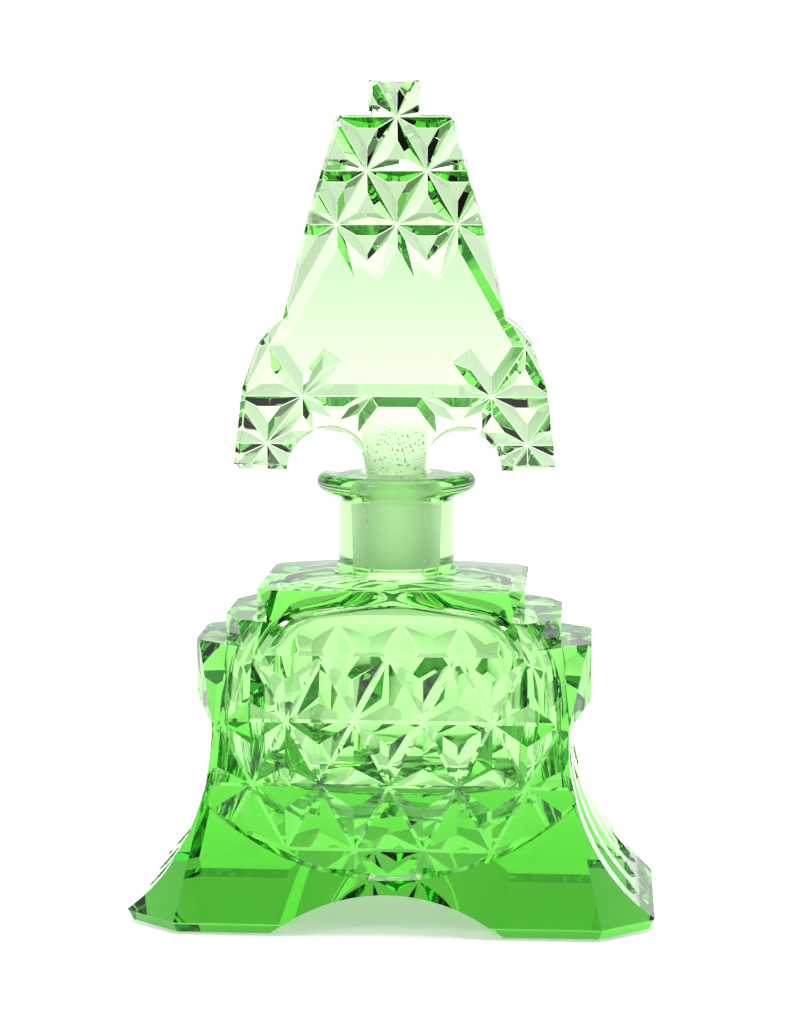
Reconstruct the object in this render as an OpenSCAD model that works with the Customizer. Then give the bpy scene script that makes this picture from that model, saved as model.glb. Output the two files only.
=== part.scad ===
// Stoppered perfume bottle in pressed and cut coloured glass.
// Two loose pieces: the bottle, and a ground-in stopper with a tall tent-shaped head.
// The bottle stands on the XY plane, centred on Z, with its broad cut face towards -Y.

/* [Foot] */
// Width of the foot across its widest corners
foot_width = 92; // [80:1:112]
// Depth of the foot, front to back
foot_depth = 49; // [42:1:60]
// Height of the small bevel round the bottom edge
foot_bevel = 1.8; // [1:0.1:3]
// Span of the arch cut through under the foot
arch_span = 40; // [32:1:48]
// Rise of that arch
arch_rise = 7; // [4.5:0.5:8.5]

/* [Body] */
// Width of the body where it meets the belt
waist_width = 61.4; // [55:0.2:70]
// Depth of the body over the points of the cut pattern
body_depth = 41; // [36:0.5:50]
// Height from the table to the underside of the belt
waist_height = 34.5; // [30:0.5:42]
// Width of the belt, the widest band above the waist
belt_width = 69; // [62:0.5:83]
// Height of the belt
belt_height = 13.8; // [11:0.2:17]

/* [Shoulder] */
// Width of the lower shoulder step
step_width = 58.4; // [50:0.2:66]
// Height of the lower shoulder step
step_height = 4.6; // [3:0.1:6]
// Width of the upper shoulder step
top_width = 46; // [40:0.5:56]
// Depth of the upper shoulder step
top_depth = 33; // [29:0.5:40]
// Height of the upper shoulder step
top_height = 5.4; // [4:0.1:7]
// Rise of the hipped top from its edge to the neck
top_rise = 1.2; // [0.8:0.1:1.8]

/* [Neck] */
// Outside diameter of the neck
neck_d = 20.5; // [18:0.1:25]
// Height of the neck, from the shoulder to the top of the collar
neck_height = 17.6; // [15:0.1:21.2]
// Outside diameter of the collar
collar_d = 28; // [25:0.5:34]
// Height of the collar
collar_height = 4.8; // [3.5:0.1:6]
// Diameter of the ground bore at its lower end
bore_d = 10; // [8:0.1:12]
// Widening of the bore diameter for each millimetre upwards
bore_taper = 0.04; // [0.02:0.01:0.08]

/* [Cut pattern] */
// Distance between stars along a row of the bottle
star_pitch = 11.85; // [11:0.05:14.3]
// Distance between rows of stars on the bottle
row_pitch = 11.2; // [9.5:0.1:12]
// Depth of the bottle's cuts
cut_depth = 2.1; // [1.5:0.1:2.5]
// Width of the flat bottom of the bottle's cuts
cut_flat = 0.6; // [0.4:0.1:0.8]
// Depth of the stopper's cuts
head_cut_depth = 1.8; // [1:0.05:2.2]
// Half width of the stopper's cuts
head_cut_half = 2; // [1.6:0.1:2.6]
// Depth of the flutes down the two sides
flute_depth = 1.3; // [0.8:0.1:1.8]

/* [Inside] */
// Wall between the inside and the flat outside at the waist
side_wall = 5.2; // [4:0.1:7]
// Wall between the inside and the bottom of the cuts
face_wall = 8.5; // [6:0.1:10]
// Glass left under the inside, above the arch
floor_wall = 10.5; // [8:0.1:13]

/* [Stopper] */
// Width of the stopper head over its two ears
head_width = 56; // [48:0.5:67]
// Height of the stopper head above the bottom of its ears
head_height = 67; // [58:0.5:80]
// Thickness of the stopper head
head_thick = 12; // [10:0.2:14.4]
// Gap from the top of the collar to the bottom of the ears
ear_gap = 0.9; // [0.6:0.1:3]
// Length of the ground plug inside the neck
plug_length = 16.6; // [13:0.2:20]
// Radial running clearance between plug and bore
plug_clearance = 0.04; // [0.02:0.01:0.08]

/* [Hidden] */
$fn = 96;
glass = [0.36, 0.80, 0.30];
pale_glass = [0.70, 0.92, 0.66];

reach = 200;          // longer than anything it has to cut
over = 1;             // how far a cutter runs past the surface it opens

// Levels of the bottle
belt_top = waist_height + belt_height;
step_top = belt_top + step_height;
plate_top = step_top + top_height;
neck_base = plate_top + top_rise;
collar_top = neck_base + neck_height;

// Flare of the two sides: an arc that starts upright just under the belt
flare_top = waist_height - 1;
flare_drop = flare_top - foot_bevel;
flare_out = (foot_width - waist_width) / 2;
flare_r = (flare_drop * flare_drop + flare_out * flare_out) / (2 * flare_out);
flare_x = waist_width / 2 + flare_r;

// Flutes down the sides: round cutters carried along the flare
flute_r = 5.2;
flute_pitch = 11.2;
flute_sweep = 40;

// Lattice of the bottle: star rows hang from the top edge of the belt
row_top = belt_top - 1.1;
cell_side = sqrt(row_pitch * row_pitch + star_pitch * star_pitch / 4);
cell_inner = star_pitch * row_pitch / (star_pitch + 2 * cell_side);
cut_half = cell_inner * 1.02;
cut_angle = atan2(row_pitch, star_pitch / 2);
face_y = body_depth / 2;
groove_y = face_y - cut_depth;
shoulder_y = groove_y - 0.25;
neck_fillet = 2;
top_flat = neck_d / 2 + neck_fillet + 0.2;

// Corner cuts of the steps, as [across, front to back]
belt_corner = [5.3, 13];
step_corner = [5, 10];
top_corner = [2.5, 4];

// Front of the foot and the curved edge where the cut face ends
foot_y = foot_depth / 2;
hip_x = foot_width * 0.398;      // where a corner facet starts on the front
tip_x = foot_width * 0.487;      // and where it ends at the side
tip_y = foot_y * 0.72;
corner_bevel = 6;                // steepness of the bottom bevel at the corners
smile_mid = arch_rise + 2.4;
smile_end = waist_height - 12.2;
smile_x = waist_width / 2 + 1.3;
smile_rise = smile_end - smile_mid;
smile_r = (smile_x * smile_x + smile_rise * smile_rise) / (2 * smile_rise);
lean_run = foot_y - face_y;
arch_r = (arch_span * arch_span / 4 + arch_rise * arch_rise) / (2 * arch_rise);

// Inside of the bottle
room_x = waist_width / 2 - side_wall;
room_y = groove_y - face_wall;
room_floor = arch_rise + floor_wall;
room_shoulder = belt_top - 3;
room_top = plate_top - 5.5;
bell_top = room_top + 1.9;
room_corner = 8;
throat_d = bore_d + 1;
throat_curve = 4.2;
bell_half = throat_d / 2 + throat_curve - 0.8;

// Ground joint: one taper shared by bore and plug
mouth_bevel = 0.8;
plug_bottom = collar_top - plug_length;
function bore_r(z) = bore_d / 2 + (z - plug_bottom) * bore_taper / 2;
function plug_r(z) = bore_r(z) - plug_clearance;

// Levels and half widths of the stopper head
ear_z = collar_top + ear_gap;
head_x = head_width / 2;
shank_r = plug_r(collar_top) - 0.3;
notch_out = head_x * 0.665;
notch_r = (notch_out - shank_r) / 2;
notch_x = shank_r + notch_r;
head_row = 9.3;
head_half_pitch = 5.25;
tab_half = head_x * 0.155;
tab_height = 6;
tab_dip = 0.45;
crown_half = head_x * 0.37;
crown_z = ear_z + head_height - tab_height;
star_z = crown_z - 0.2;
waist_z = ear_z + head_height * 0.39;
run_out = 3;
lattice_run_out = 7;
// each ear carries a big star, with one small star above it and one below
ear_star = [notch_out - 2, ear_z + 12.2];
ear_rise = 1.5;
ear_fall = 1.33;
low_star = [ear_star[0] + 6.3, ear_star[1] - 6.3 * ear_fall];
root_star = [4.4, ear_star[1]];

// ---------- shared cutters ----------

// Everything beyond the plane through p with outward direction n
module beyond(p, n) {
  translate(p)
    rotate([0, acos(n[2] / norm(n)), atan2(n[1], n[0])])
      translate([-reach / 2, -reach / 2, 0])
        cube(reach);
}

// Straight V-cut in a face at y = -face, from a to b given as [x, z], with a narrow flat bottom.
// With a taper the cut rises back to the face over that length before it ends at b.
module vee(a, b, face, depth, half, bottom = 0, taper = 0) {
  run = b - a;
  wide = bottom + (half - bottom) * (depth + over) / depth;
  difference() {
    translate([a[0], -face + depth, a[1]])
      rotate([0, 90 - atan2(run[1], run[0]), 0])
        linear_extrude(height = norm(run))
          polygon([[bottom, 0], [wide, -depth - over], [-wide, -depth - over], [-bottom, 0]]);
    if (taper > 0)
      beyond([b[0], -face, b[1]], [run[0] * depth / norm(run), taper, run[1] * depth / norm(run)]);
  }
}

// Cut across one face of the bottle
module face_vee(a, b) {
  vee(a, b, face_y, cut_depth, cut_half, cut_flat / 2);
}

// Same shape on the front and on the back
module both_faces() {
  children();
  mirror([0, 1, 0])
    children();
}

module both_sides() {
  children();
  mirror([1, 0, 0])
    children();
}

// Upright block with its four corners cut off
module octagon_block(w, d, corner, z0, z1) {
  x = w / 2;
  y = d / 2;
  u = x - corner[0];
  v = y - corner[1];
  translate([0, 0, z0])
    linear_extrude(height = z1 - z0)
      polygon([[x, v], [u, y], [-u, y], [-x, v], [-x, -v], [-u, -y], [u, -y], [x, -v]]);
}

// ---------- bottle ----------

// Outline seen from the front, below the belt
module flare_outline() {
  difference() {
    translate([-foot_width / 2, 0])
      square([foot_width, waist_height + over]);
    for (s = [-1, 1])
      translate([s * flare_x, flare_top])
        circle(r = flare_r, $fn = 240);
    for (s = [-1, 1])
      translate([s * flare_x - flare_r, flare_top])
        square([2 * flare_r, reach]);
  }
}

module trunk() {
  rotate([90, 0, 0])
    linear_extrude(height = body_depth, center = true)
      flare_outline();
}

// Spreading foot in front of and behind the trunk, up to the curved edge
module foot_apron() {
  difference() {
    rotate([90, 0, 0])
      linear_extrude(height = foot_depth, center = true)
        difference() {
          intersection() {
            flare_outline();
            translate([-foot_width / 2, 0])
              square([foot_width, smile_end + over]);
          }
          translate([0, smile_mid + smile_r])
            circle(r = smile_r, $fn = 240);
        }
    both_faces()
      beyond([0, -foot_y, foot_bevel], [0, -(smile_end - foot_bevel), lean_run]);
  }
}

module belt() {
  inset = (belt_width - waist_width) / 2;
  intersection() {
    octagon_block(belt_width, body_depth, belt_corner, waist_height, belt_top);
    rotate([90, 0, 0])
      linear_extrude(height = body_depth, center = true)
        polygon([[waist_width / 2, waist_height], [belt_width / 2, waist_height + inset],
                 [belt_width / 2, belt_top], [-belt_width / 2, belt_top],
                 [-belt_width / 2, waist_height + inset], [-waist_width / 2, waist_height]]);
  }
}

// Two steps at each side, one sloping plane down the front and back, and a low hipped top
module shoulder() {
  slope_run = shoulder_y - top_depth / 2;
  slope_rise = plate_top - belt_top;
  root = belt_top - 3;
  difference() {
    union() {
      octagon_block(step_width, 2 * shoulder_y, step_corner, root, step_top);
      octagon_block(top_width, 2 * shoulder_y, top_corner, root, neck_base);
    }
    both_faces()
      beyond([0, -shoulder_y, belt_top], [0, -slope_rise, slope_run]);
    both_faces()
      beyond([0, -top_depth / 2, plate_top], [0, -top_rise, top_depth / 2 - top_flat]);
    both_sides()
      beyond([top_width / 2, 0, plate_top], [top_rise, 0, top_width / 2 - top_flat]);
  }
}

// Straight neck on a small fillet, under a thick flange with a rounded rim and a sloping underside
module neck() {
  neck_r = neck_d / 2;
  rim = 1.7;
  rim_x = collar_d / 2 - rim;
  rim_z = collar_top - rim;
  under = collar_top - collar_height;
  rotate_extrude()
    union() {
      translate([0, plate_top])
        square([neck_r, rim_z - plate_top]);
      // fillet, sunk a little so that it meets the shoulder at an edge
      difference() {
        translate([0, plate_top])
          square([neck_r + neck_fillet * 0.6, neck_base + neck_fillet * 0.9 - plate_top]);
        translate([neck_r + neck_fillet, neck_base + neck_fillet * 0.9])
          circle(r = neck_fillet);
      }
      polygon([[0, under], [neck_r, under], [rim_x + rim * 0.5, rim_z - rim * 0.866],
               [rim_x, rim_z], [0, rim_z]]);
      translate([0, rim_z - over])
        square([rim_x, rim + over]);
      translate([rim_x, rim_z])
        circle(r = rim);
    }
}

// All the cuts of one broad face, running from the belt down to the foot
module face_cuts() {
  rows = ceil(row_top / row_pitch);
  low = row_top - rows * row_pitch;
  slide = (row_top - low) / row_pitch * star_pitch / 2;
  count = ceil((belt_width / 2 + slide) / star_pitch);
  for (i = [1 : rows - 1])
    face_vee([-reach / 4, row_top - i * row_pitch], [reach / 4, row_top - i * row_pitch]);
  for (i = [-count : count]) {
    face_vee([i * star_pitch, row_top], [i * star_pitch + slide, low]);
    face_vee([i * star_pitch, row_top], [i * star_pitch - slide, low]);
  }
  // the top row is half a cut: everything above it falls back to the bottom of the cuts
  beyond([0, -groove_y, row_top - cut_flat / 2], [0, cut_flat / 2 - cut_half, cut_depth]);
}

module arch_tunnel() {
  translate([0, 0, arch_rise - arch_r])
    rotate([90, 0, 0])
      cylinder(h = reach, r = arch_r, center = true, $fn = 240);
}

// Corner facets of the foot, from the end of the curved edge down to the bottom bevel
module foot_corners() {
  top = [smile_x, -face_y, smile_end];
  hip = [hip_x, -foot_y, foot_bevel];
  n = cross([tip_x, -tip_y, foot_bevel] - hip, top - hip);
  both_faces()
    both_sides()
      beyond(top, n);
}

module foot_bevels() {
  both_faces()
    beyond([0, -foot_y, foot_bevel], [0, -2, -1]);
  both_sides()
    beyond([foot_width / 2 - 0.4, 0, foot_bevel], [2, 0, -1]);
  both_faces()
    both_sides()
      beyond([(hip_x + tip_x) / 2, -(foot_y + tip_y) / 2, foot_bevel],
             [foot_y - tip_y, hip_x - tip_x, -corner_bevel]);
}

// Round-bottomed flutes that follow the flare down each side, each with a rounded lower end
module side_flutes() {
  both_sides()
    for (i = [-1 : 1])
      translate([flare_x, i * flute_pitch, flare_top])
        rotate([90, 0, 0])
          rotate([0, 0, 180]) {
            rotate_extrude(angle = flute_sweep, $fn = 240)
              translate([flare_r - flute_r + flute_depth, 0])
                circle(r = flute_r);
            rotate([0, 0, flute_sweep])
              translate([flare_r - flute_r + flute_depth, 0, 0])
                sphere(r = flute_r * 1.03);
          }
}

// Rounded block inside the body, with sloping shoulders up to the throat
module room() {
  r = room_corner;
  intersection() {
    translate([0, 0, room_floor])
      linear_extrude(height = bell_top - room_floor)
        rounded(room_x, room_y, r);
    rotate([90, 0, 0])
      linear_extrude(height = reach, center = true)
        room_outline(room_x, room_x * 0.72, r);
    rotate([90, 0, 90])
      linear_extrude(height = reach, center = true)
        room_outline(room_y, room_y * 0.94, r);
  }
}

module rounded(x, y, r) {
  square([2 * x, 2 * (y - r)], center = true);
  square([2 * (x - r), 2 * y], center = true);
  for (sx = [-1, 1])
    for (sy = [-1, 1])
      translate([sx * (x - r), sy * (y - r)])
        circle(r = r);
}

module room_outline(half, top_half, r) {
  translate([-half, room_floor + r])
    square([2 * half, room_shoulder - room_floor - r]);
  translate([r - half, room_floor])
    square([2 * (half - r), r + over]);
  for (s = [-1, 1])
    translate([s * (half - r), room_floor + r])
      circle(r = r);
  polygon([[-half, room_shoulder - over], [half, room_shoulder - over], [half, room_shoulder],
           [top_half, room_top], [bell_half, bell_top], [-bell_half, bell_top],
           [-top_half, room_top], [-half, room_shoulder]]);
}

// Throat that narrows in a smooth curve from the inside to the ground bore
module throat_and_bore() {
  curve_z = bell_top + throat_curve - 0.15;
  rotate_extrude()
    difference() {
      translate([0, bell_top - over])
        square([bell_half - 0.3, curve_z - bell_top + over]);
      translate([throat_d / 2 + throat_curve, curve_z])
        circle(r = throat_curve);
    }
  translate([0, 0, curve_z - 0.01])
    cylinder(h = plug_bottom - curve_z + 0.02, d = throat_d);
  translate([0, 0, plug_bottom])
    cylinder(h = plug_length + 0.01, r1 = bore_r(plug_bottom), r2 = bore_r(collar_top));
  // softened mouth
  translate([0, 0, collar_top - mouth_bevel])
    cylinder(h = mouth_bevel + over, r1 = bore_r(collar_top), r2 = bore_r(collar_top) + mouth_bevel + over);
}

module bottle() color(glass) {
  difference() {
    union() {
      difference() {
        union() {
          trunk();
          belt();
        }
        both_faces()
          face_cuts();
      }
      foot_apron();
      shoulder();
      neck();
    }
    arch_tunnel();
    foot_corners();
    foot_bevels();
    side_flutes();
    room();
    throat_and_bore();
  }
}

// ---------- stopper ----------

// Right half of the head outline as [x, z], from the top down to the ear
head_right = [
  [tab_half, ear_z + head_height],
  [tab_half, crown_z],
  [crown_half - 1, crown_z],
  [crown_half, crown_z - 1],
  [crown_half, crown_z - 2.4],
  [head_x * 0.53, ear_z + head_height * 0.655],
  [head_x * 0.69, waist_z],
  [head_x * 0.775, waist_z - 1.8],
  [head_x * 0.855, waist_z - 4.6],
  [head_x * 0.945, waist_z - 12],
  [head_x, ear_z + 1],
  [head_x, ear_z],
  [notch_x, ear_z]
];

module head_outline() {
  difference() {
    polygon(concat(head_right, [for (i = [len(head_right) - 1 : -1 : 0])
                                [-head_right[i][0], head_right[i][1]]]));
    for (s = [-1, 1])
      translate([s * notch_x, ear_z])
        circle(r = notch_r);
  }
}

// Flat slab, its top end hollowed very slightly
module head() {
  dip_r = (tab_half * tab_half + tab_dip * tab_dip) / (2 * tab_dip);
  difference() {
    rotate([90, 0, 0])
      linear_extrude(height = head_thick, center = true)
        head_outline();
    translate([0, 0, ear_z + head_height - tab_dip + dip_r])
      rotate([90, 0, 0])
        cylinder(h = reach, r = dip_r, center = true, $fn = 240);
  }
}

module head_vee(a, b, taper = 0) {
  vee(a, b, head_thick / 2, head_cut_depth, head_cut_half, 0, taper);
}

// Cut right across the head at height z
module head_row_cut(z) {
  head_vee([-reach / 4, z], [reach / 4, z]);
}

// The same cut left and right
module head_pair(a, b, taper = 0) {
  head_vee(a, b, taper);
  mirror([1, 0, 0])
    head_vee(a, b, taper);
}

// Point on the upper lattice, counted in half pitches from the middle and rows from the top star
function upper(i, j) = [i * head_half_pitch, star_z - j * head_row];

// Point on a line through p that climbs by slope, at a distance x across from p
function along(p, slope, x) = [p[0] + x, p[1] + x * slope];

module head_cuts() {
  // rows across the upper part, and one across both ears
  for (j = [0 : 2])
    head_row_cut(star_z - j * head_row);
  head_row_cut(ear_star[1]);
  // crossing cuts: the middle pair runs on as the long frame of the plain panel
  head_pair(upper(-3, -3), upper(6, 6));
  head_pair(upper(-5, -3), upper(0.95, 2.95), lattice_run_out);
  head_pair(upper(-7, -3), upper(-1.05, 2.95), lattice_run_out);
  // stars of the ears
  head_pair(along(ear_star, ear_rise, 20), along(ear_star, ear_rise, -3.4), run_out);
  head_pair(along(ear_star, -ear_fall, 20), along(ear_star, -ear_fall, -5.4), run_out);
  head_pair(along(low_star, ear_rise, -12), along(low_star, ear_rise, 12));
  head_pair(low_star - [9, 0], low_star + [12, 0]);
  // short pair over the root of the plug
  head_pair(root_star, along(root_star, -ear_fall, 4.2), run_out);
}

module plug() {
  translate([0, 0, plug_bottom])
    cylinder(h = plug_length, r1 = plug_r(plug_bottom), r2 = plug_r(collar_top));
  translate([0, 0, collar_top - 0.01])
    cylinder(h = ear_gap + notch_r, r = shank_r);
}

module stopper() color(pale_glass) {
  difference() {
    union() {
      head();
      plug();
    }
    // the cuts are on the back, and are seen through the plain polished front
    mirror([0, 1, 0])
      head_cuts();
  }
}

bottle();
stopper();
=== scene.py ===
import bpy
import bmesh
import math
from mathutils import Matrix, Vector
from mathutils.geometry import interpolate_bezier


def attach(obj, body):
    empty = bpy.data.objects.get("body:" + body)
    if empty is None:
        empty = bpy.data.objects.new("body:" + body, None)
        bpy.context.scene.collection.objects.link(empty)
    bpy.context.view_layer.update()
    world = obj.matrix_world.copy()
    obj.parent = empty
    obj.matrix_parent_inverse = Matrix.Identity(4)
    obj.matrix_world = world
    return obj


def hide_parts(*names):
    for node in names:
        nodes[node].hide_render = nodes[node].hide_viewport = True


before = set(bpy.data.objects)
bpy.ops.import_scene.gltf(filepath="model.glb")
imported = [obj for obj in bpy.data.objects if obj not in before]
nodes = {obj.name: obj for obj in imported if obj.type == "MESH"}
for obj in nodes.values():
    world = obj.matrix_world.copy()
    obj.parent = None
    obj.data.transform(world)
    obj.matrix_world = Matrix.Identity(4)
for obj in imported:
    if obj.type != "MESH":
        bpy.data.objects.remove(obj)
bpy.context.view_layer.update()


# ---- Studio ----
# A pale seamless sweep under and behind the bottle, lit all round by large soft white panels.
# The side the viewer stands on is left darker, so that the glass has something dark to show.

bpy.ops.object.select_all(action="DESELECT")
bpy.ops.mesh.primitive_plane_add(size=8, location=(0, 0, -0.0003))
sweep = bpy.context.object
sweep.name = "sweep"

paper = bpy.data.materials.new("white_paper")
paper.use_nodes = True
paper_nodes = paper.node_tree.nodes
paper_links = paper.node_tree.links
paper_face = paper_nodes["Principled BSDF"]
paper_face.inputs["Base Color"].default_value = (0.93, 0.93, 0.93, 1)
paper_face.inputs["Roughness"].default_value = 0.7
paper_face.inputs["Emission Color"].default_value = (1, 1, 1, 1)
paper_face.inputs["Emission Strength"].default_value = 0.25
paper_place = paper_nodes.new("ShaderNodeTexCoord")
paper_grain = paper_nodes.new("ShaderNodeTexNoise")
paper_grain.inputs["Scale"].default_value = 900
paper_bump = paper_nodes.new("ShaderNodeBump")
paper_bump.inputs["Strength"].default_value = 0.05
paper_bump.inputs["Distance"].default_value = 0.0002
paper_links.new(paper_place.outputs["Object"], paper_grain.inputs["Vector"])
paper_links.new(paper_grain.outputs["Fac"], paper_bump.inputs["Height"])
paper_links.new(paper_bump.outputs["Normal"], paper_face.inputs["Normal"])
sweep.data.materials.append(paper)

studio = bpy.data.worlds.new("studio")
bpy.context.scene.world = studio
studio.use_nodes = True
studio_nodes = studio.node_tree.nodes
studio_links = studio.node_tree.links
studio_way = studio_nodes.new("ShaderNodeTexCoord")
studio_parts = studio_nodes.new("ShaderNodeSeparateXYZ")
studio_ramp = studio_nodes.new("ShaderNodeValToRGB")
studio_ramp.color_ramp.elements[0].position = 0.06
studio_ramp.color_ramp.elements[0].color = (0.2, 0.2, 0.2, 1)
studio_ramp.color_ramp.elements[1].position = 0.52
studio_ramp.color_ramp.elements[1].color = (1.02, 1.02, 1.02, 1)
studio_shift = studio_nodes.new("ShaderNodeMapRange")
studio_shift.inputs["From Min"].default_value = -1
studio_shift.inputs["From Max"].default_value = 1
studio_links.new(studio_way.outputs["Generated"], studio_parts.inputs[0])
studio_links.new(studio_parts.outputs["Y"], studio_shift.inputs["Value"])
studio_links.new(studio_shift.outputs["Result"], studio_ramp.inputs["Fac"])
studio_links.new(studio_ramp.outputs["Color"], studio_nodes["Background"].inputs["Color"])

bpy.ops.object.light_add(type="AREA", location=(0, 0.25, 1.4))
top_panel = bpy.context.object
top_panel.name = "top_panel"
top_panel.data.shape = "DISK"
top_panel.data.size = 1.6
top_panel.data.energy = 20

side_panel_turn = (math.radians(50), 0, math.radians(-36))
bpy.ops.object.light_add(type="AREA", location=(-0.55, -0.75, 0.75), rotation=side_panel_turn)
side_panel = bpy.context.object
side_panel.name = "side_panel"
side_panel.data.size = 0.25
side_panel.data.energy = 1.5


# ---- View ----
# A long lens a little above the bottle and slightly to its right.

view_turn = math.radians(4.0)
view_tilt = math.radians(7.396)
view_distance = 0.5
bpy.ops.object.camera_add(
    location=(view_distance * math.sin(view_turn), -view_distance * math.cos(view_turn), 0.1355),
    rotation=(math.pi / 2 - view_tilt, 0, view_turn),
)
camera = bpy.context.object
camera.data.lens = 101.6
camera.data.sensor_width = 36
camera.data.shift_x = 0.0031
camera.data.clip_start = 0.01
bpy.context.scene.camera = camera


# ---- Bottle ----
# One pressing of thick green glass: spreading foot with an arch, waisted body with a lattice of
# V-cuts front and back, stepped shoulder, neck and thick collar. The mould leaves faint ripples;
# the bore of the neck is ground, so it is frosted.

arc_step = math.radians(18)
same_point = 0.000002
same_plane = math.radians(0.4)


def join_faces(piece):
    """Joins the loose triangles into whole faces."""
    bpy.ops.object.select_all(action="DESELECT")
    piece.select_set(True)
    bpy.context.view_layer.objects.active = piece
    bpy.ops.object.mode_set(mode="EDIT")
    bpy.ops.mesh.select_all(action="SELECT")
    bpy.ops.mesh.remove_doubles(threshold=same_point)
    bpy.ops.mesh.dissolve_limited(angle_limit=same_plane)
    bpy.ops.object.mode_set(mode="OBJECT")
    bpy.ops.mesh.customdata_custom_splitnormals_clear()


def polish(piece, step):
    """Smooths the curves and keeps the flat facets optically flat."""
    bpy.ops.object.shade_smooth_by_angle(angle=step)
    bpy.ops.object.modifier_add(type="WEIGHTED_NORMAL")
    flat_faces = piece.modifiers[-1]
    flat_faces.weight = 100
    flat_faces.keep_sharp = True
    bpy.ops.object.modifier_apply(modifier=flat_faces.name)


# Faint ripple of glass pressed against a mould, and the fine grain of a ground joint
ripple_height = 0.00002
grain_height_full = 0.00002
ground_roughness = 0.62
ground_radius = 0.0055
ground_fade = 500
specks_from = 0.0768
speck_threshold = 0.7
ripple = bpy.data.node_groups.new("pressed_glass", "ShaderNodeTree")
ripple.interface.new_socket("Place", in_out="INPUT", socket_type="NodeSocketVector")
ripple.interface.new_socket("Ripple Scale", in_out="INPUT", socket_type="NodeSocketFloat")
ripple.interface.new_socket("Ground From", in_out="INPUT", socket_type="NodeSocketFloat")
ripple.interface.new_socket("Ground To", in_out="INPUT", socket_type="NodeSocketFloat")
ripple.interface.new_socket("Roundness", in_out="INPUT", socket_type="NodeSocketFloat")
ripple.interface.new_socket("Height", in_out="OUTPUT", socket_type="NodeSocketFloat")
ripple.interface.new_socket("Roughness", in_out="OUTPUT", socket_type="NodeSocketFloat")
ripple.interface.new_socket("Colour", in_out="OUTPUT", socket_type="NodeSocketColor")
rn = ripple.nodes
rl = ripple.links
group_in = rn.new("NodeGroupInput")
group_out = rn.new("NodeGroupOutput")


def maths(operation, first, second):
    node = rn.new("ShaderNodeMath")
    node.operation = operation
    for socket, value in zip(node.inputs, (first, second)):
        if isinstance(value, (int, float)):
            socket.default_value = value
        else:
            rl.new(value, socket)
    return node.outputs[0]


waves = rn.new("ShaderNodeTexNoise")
waves.inputs["Detail"].default_value = 1.5
rl.new(group_in.outputs["Place"], waves.inputs["Vector"])
rl.new(group_in.outputs["Ripple Scale"], waves.inputs["Scale"])
grain = rn.new("ShaderNodeTexNoise")
grain.inputs["Scale"].default_value = 2600
grain.inputs["Detail"].default_value = 2
rl.new(group_in.outputs["Place"], grain.inputs["Vector"])
specks = rn.new("ShaderNodeTexNoise")
specks.inputs["Scale"].default_value = 2300
specks.inputs["Detail"].default_value = 0
rl.new(group_in.outputs["Place"], specks.inputs["Vector"])
place = rn.new("ShaderNodeSeparateXYZ")
rl.new(group_in.outputs["Place"], place.inputs[0])
across = maths("MULTIPLY", place.outputs["X"], place.outputs["X"])
through = maths("MULTIPLY", place.outputs["Y"], place.outputs["Y"])
through = maths("MULTIPLY", through, group_in.outputs["Roundness"])
radius = maths("SQRT", maths("ADD", across, through), 0)
in_bore = maths("LESS_THAN", radius, ground_radius)
above = maths("GREATER_THAN", place.outputs["Z"], group_in.outputs["Ground From"])
below = maths("SUBTRACT", group_in.outputs["Ground To"], place.outputs["Z"])
below = maths("MULTIPLY", below, ground_fade)
below = maths("MAXIMUM", maths("MINIMUM", below, 1), 0)
ground = maths("MULTIPLY", in_bore, maths("MULTIPLY", above, below))
wave_height = maths("MULTIPLY", waves.outputs["Fac"], ripple_height)
grain_on_joint = maths("MULTIPLY", grain.outputs["Fac"], ground)
grain_height = maths("MULTIPLY", grain_on_joint, grain_height_full)
rl.new(maths("ADD", wave_height, grain_height), group_out.inputs["Height"])
rl.new(maths("MULTIPLY", ground, ground_roughness), group_out.inputs["Roughness"])
spot = maths("GREATER_THAN", specks.outputs["Fac"], speck_threshold)
speck_mix = rn.new("ShaderNodeMix")
speck_mix.data_type = "RGBA"
speck_mix.inputs[6].default_value = (1, 1, 1, 1)
speck_mix.inputs[7].default_value = (0.12, 0.10, 0.04, 1)
in_open = maths("GREATER_THAN", place.outputs["Z"], specks_from)
rl.new(maths("MULTIPLY", spot, maths("MULTIPLY", ground, in_open)), speck_mix.inputs[0])
rl.new(speck_mix.outputs[2], group_out.inputs["Colour"])


def green_glass(name, ripple_scale, ground_from, ground_to, roundness, depth_of_colour):
    """Clear green glass, coloured through its whole thickness."""
    glass = bpy.data.materials.new(name)
    glass.use_nodes = True
    n = glass.node_tree.nodes
    link = glass.node_tree.links.new
    surface = n["Principled BSDF"]
    surface.inputs["IOR"].default_value = 1.52
    surface.inputs["Transmission Weight"].default_value = 1
    where = n.new("ShaderNodeTexCoord")
    finish = n.new("ShaderNodeGroup")
    finish.node_tree = ripple
    finish.inputs["Ripple Scale"].default_value = ripple_scale
    finish.inputs["Ground From"].default_value = ground_from
    finish.inputs["Ground To"].default_value = ground_to
    finish.inputs["Roundness"].default_value = roundness
    bump = n.new("ShaderNodeBump")
    bump.inputs["Strength"].default_value = 1
    bump.inputs["Distance"].default_value = 1
    link(where.outputs["Object"], finish.inputs["Place"])
    link(finish.outputs["Height"], bump.inputs["Height"])
    link(bump.outputs["Normal"], surface.inputs["Normal"])
    link(finish.outputs["Roughness"], surface.inputs["Roughness"])
    link(finish.outputs["Colour"], surface.inputs["Base Color"])
    tint = n.new("ShaderNodeVolumeAbsorption")
    tint.inputs["Color"].default_value = (0.36, 0.827, 0.15, 1)
    tint.inputs["Density"].default_value = depth_of_colour
    link(tint.outputs["Volume"], n["Material Output"].inputs["Volume"])
    return glass


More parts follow.
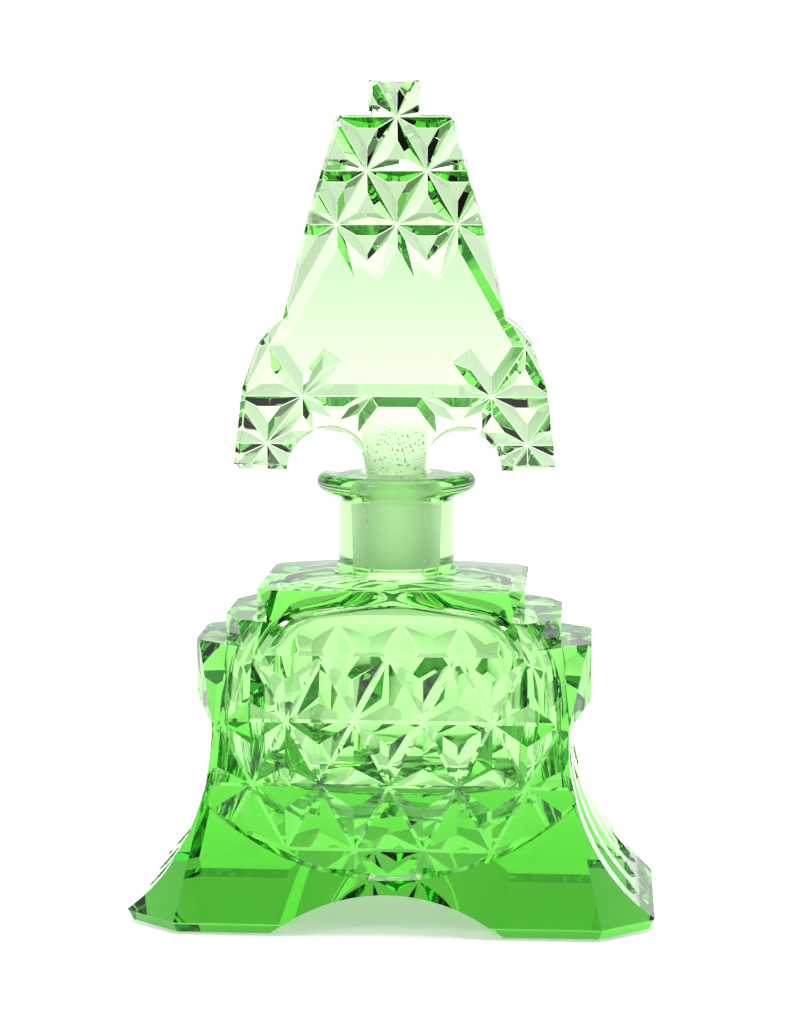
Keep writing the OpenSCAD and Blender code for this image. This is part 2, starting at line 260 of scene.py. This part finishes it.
bottle = bpy.data.objects.new("pressed_bottle", nodes["bottle"].data.copy())
bpy.context.scene.collection.objects.link(bottle)
join_faces(bottle)

# The inside is blown into the mould, so it has no edges: below the ground bore it swells
# in one smooth bell to a rounded chamber. Each level is (height, half width, half depth).
bore_end = 0.06051
bore_foot = 0.0055
room_half_width = 0.027
room_half_depth = 0.0125
room_from = 0.015
room_to = 0.058
throat_radius = 0.0058
throat_from = 0.0575
below_bore_end = 0.00005
chamber_levels = (
    (0.0598, 0.0055, 0.0055), (0.0585, 0.0055, 0.0055), (0.0572, 0.0060, 0.0059),
    (0.0560, 0.0074, 0.0068), (0.0550, 0.0098, 0.0077), (0.0542, 0.0132, 0.0083),
    (0.0535, 0.0163, 0.0087), (0.0525, 0.0188, 0.0091), (0.0508, 0.0208, 0.0094),
    (0.0485, 0.0227, 0.0096), (0.0455, 0.0246, 0.0098), (0.0420, 0.0254, 0.0099),
    (0.0370, 0.0255, 0.0099), (0.0320, 0.0255, 0.0099), (0.0275, 0.0250, 0.0097),
    (0.0240, 0.0238, 0.0091), (0.0212, 0.0216, 0.0081), (0.0194, 0.0182, 0.0066),
    (0.0184, 0.0132, 0.0046), (0.0180, 0.0066, 0.0022),
)
bpy.ops.object.mode_set(mode="EDIT")
bpy.ops.mesh.select_all(action="DESELECT")
bpy.ops.mesh.select_mode(type="VERT")
bottle_mesh = bmesh.from_edit_mesh(bottle.data)
for vertex in bottle_mesh.verts:
    place_in_glass = vertex.co
    in_room = abs(place_in_glass.x) < room_half_width and abs(place_in_glass.y) < room_half_depth
    in_room = in_room and room_from < place_in_glass.z < room_to
    in_throat = math.hypot(place_in_glass.x, place_in_glass.y) < throat_radius
    in_throat = in_throat and throat_from < place_in_glass.z < bore_end - below_bore_end
    vertex.select = in_room or in_throat
bpy.ops.mesh.delete(type="VERT")
bpy.ops.mesh.select_mode(type="EDGE")
bpy.ops.mesh.select_all(action="DESELECT")
bpy.ops.mesh.select_non_manifold(extend=False, use_wire=False, use_boundary=True,
                                 use_multi_face=False, use_non_contiguous=False, use_verts=False)
bpy.ops.mesh.subdivide(number_cuts=1)
square_from = 0.007
square_over = 0.012
squareness = 2.4
steps_per_level = 4
knots = [Vector((bore_foot, bore_foot, bore_end))]
knots += [Vector((width, depth, height)) for height, width, depth in chamber_levels]
ends = [knots[0] * 2 - knots[1]] + knots + [knots[-1] * 2 - knots[-2]]
last = (bore_foot, bore_foot, 1)
for before, start, end, after in zip(ends, knots, knots[1:], ends[3:]):
    handles = (start + (end - before) / 6, end - (after - start) / 6)
    for step in interpolate_bezier(start, *handles, end, steps_per_level)[1:]:
        squared = min(1, max(0, (step.x - square_from) / square_over))
        power = 2 / (2 + squareness * squared)
        bpy.ops.mesh.extrude_edges_move()
        for vertex in bmesh.from_edit_mesh(bottle.data).verts:
            if vertex.select:
                x = (abs(vertex.co.x) / last[0]) ** (power / last[2]) * step.x
                y = (abs(vertex.co.y) / last[1]) ** (power / last[2]) * step.y
                vertex.co = (math.copysign(x, vertex.co.x), math.copysign(y, vertex.co.y), step.z)
        last = (step.x, step.y, power)
bpy.ops.mesh.edge_face_add()
bpy.ops.mesh.select_all(action="SELECT")
bpy.ops.mesh.normals_make_consistent(inside=False)
bpy.ops.object.mode_set(mode="OBJECT")
polish(bottle, arc_step)
bottle.data.materials.clear()
bottle.data.materials.append(green_glass("bottle_green_glass", 70, 0.0604, 0.0772, 1, 82))
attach(bottle, "bottle")
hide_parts("bottle")


# ---- Stopper ----
# Pressed in the same glass: a flat tent-shaped head, plain and polished in front, with its stars
# cut into the back so that they are read through the thickness. Its plug is ground to the bore.

edge_melt = 0.00012


def soften(piece, melt):
    """Rounds every sharp edge a little."""
    bpy.ops.object.modifier_add(type="BEVEL")
    rounding = piece.modifiers[-1]
    rounding.width = melt
    rounding.segments = 2
    rounding.limit_method = "ANGLE"
    rounding.angle_limit = math.radians(21)
    rounding.use_clamp_overlap = False
    bpy.ops.object.modifier_apply(modifier=rounding.name)


stopper = bpy.data.objects.new("ground_stopper", nodes["stopper"].data.copy())
bpy.context.scene.collection.objects.link(stopper)
join_faces(stopper)
soften(stopper, edge_melt)
polish(stopper, arc_step)
stopper.data.materials.clear()
stopper.data.materials.append(green_glass("stopper_green_glass", 60, 0.06, 0.0862, 0, 55))
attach(stopper, "stopper")
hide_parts("stopper")


# ---- Light paths and picture ----
# Thick cut glass sends light to and fro many times before it leaves.

scene = bpy.context.scene
scene.view_settings.view_transform = "Standard"
passes_through_glass = 24
scene.cycles.max_bounces = passes_through_glass
scene.cycles.transmission_bounces = passes_through_glass
scene.cycles.transparent_max_bounces = passes_through_glass
